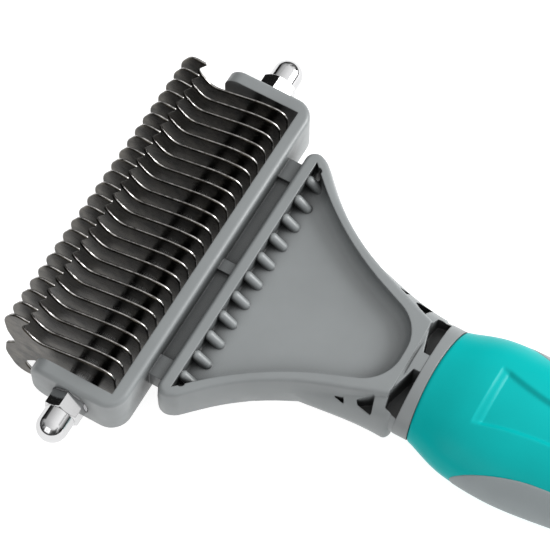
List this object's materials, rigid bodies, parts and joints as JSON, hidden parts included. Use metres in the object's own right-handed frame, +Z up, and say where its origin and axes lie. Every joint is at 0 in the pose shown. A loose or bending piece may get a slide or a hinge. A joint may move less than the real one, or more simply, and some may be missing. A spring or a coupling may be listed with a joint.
{
  "type": "undercoat rake",
  "caption": "Hand-held double-sided pet undercoat rake: hooked steel comb plates on a threaded rod in a grey yoke head, with a teal handle and soft side grips.",
  "frame": {"origin": "bottom centre of the whole part's bounding box: the point under its middle, on the surface that its coarse hooks and handle rest on", "axes": "+Z up out of the side with the fine hooks, +Y from the comb head to the end of the handle, +X along the comb's rod"},
  "size_m": [0.1128, 0.1908, 0.0305],
  "materials": {
    "frame_plastic": "moulded, fine satin",
    "handle_plastic": "moulded, satin gloss, teal",
    "grip_rubber": "soft matt grip, grey",
    "plate_steel": "stamped stainless steel, ground edges",
    "spacer_steel": "bright turned steel",
    "rod_steel": "plated steel",
    "washer_steel": "plated steel",
    "nut_chrome": "polished"
  },
  "bodies": {
    "rake": {"head_frame": "frame_plastic", "handle_shell": "handle_plastic", "grip_near": "grip_rubber", "grip_far": "grip_rubber", "threaded_rod": "rod_steel", "double_plate_01": "plate_steel", "fine_plate_02": "plate_steel", "double_plate_03": "plate_steel", "fine_plate_04": "plate_steel", "double_plate_05": "plate_steel", "fine_plate_06": "plate_steel", "double_plate_07": "plate_steel", "fine_plate_08": "plate_steel", "double_plate_09": "plate_steel", "fine_plate_10": "plate_steel", "double_plate_11": "plate_steel", "fine_plate_12": "plate_steel", "double_plate_13": "plate_steel", "fine_plate_14": "plate_steel", "double_plate_15": "plate_steel", "fine_plate_16": "plate_steel", "double_plate_17": "plate_steel", "fine_plate_18": "plate_steel", "double_plate_19": "plate_steel", "fine_plate_20": "plate_steel", "double_plate_21": "plate_steel", "fine_plate_22": "plate_steel", "double_plate_23": "plate_steel", "spacer_01": "spacer_steel", "spacer_02": "spacer_steel", "spacer_03": "spacer_steel", "spacer_04": "spacer_steel", "spacer_05": "spacer_steel", "spacer_06": "spacer_steel", "spacer_07": "spacer_steel", "spacer_08": "spacer_steel", "spacer_09": "spacer_steel", "spacer_10": "spacer_steel", "spacer_11": "spacer_steel", "spacer_12": "spacer_steel", "spacer_13": "spacer_steel", "spacer_14": "spacer_steel", "spacer_15": "spacer_steel", "spacer_16": "spacer_steel", "spacer_17": "spacer_steel", "spacer_18": "spacer_steel", "spacer_19": "spacer_steel", "spacer_20": "spacer_steel", "spacer_21": "spacer_steel", "spacer_22": "spacer_steel", "spacer_23": "spacer_steel", "spacer_24": "spacer_steel"},
    "near_washer_body": {"near_washer": "washer_steel"},
    "near_nut_body": {"near_cap_nut": "nut_chrome"},
    "far_washer_body": {"far_washer": "washer_steel"},
    "far_nut_body": {"far_cap_nut": "nut_chrome"}
  },
  "joints": [
    {"name": "near_nut_turn", "type": "hinge", "parent": "rake", "child": "near_washer_body", "pos_m": [0.0452, -0.07316, 0.01622], "axis": [1, 0, 0], "range_deg": [0, 3240]},
    {"name": "near_nut_travel", "type": "slide", "parent": "near_washer_body", "child": "near_nut_body", "axis": [1, 0, 0], "range_m": [0, 0.0072]},
    {"name": "far_nut_turn", "type": "hinge", "parent": "rake", "child": "far_washer_body", "pos_m": [-0.0452, -0.07316, 0.01622], "axis": [-1, 0, 0], "range_deg": [0, 3240]},
    {"name": "far_nut_travel", "type": "slide", "parent": "far_washer_body", "child": "far_nut_body", "axis": [-1, 0, 0], "range_m": [0, 0.0072]}
  ],
  "couplings": [
    {"joint": "near_nut_turn", "follows": "near_nut_travel", "rad_per_m": 7854},
    {"joint": "far_nut_turn", "follows": "far_nut_travel", "rad_per_m": 7854}
  ]
}
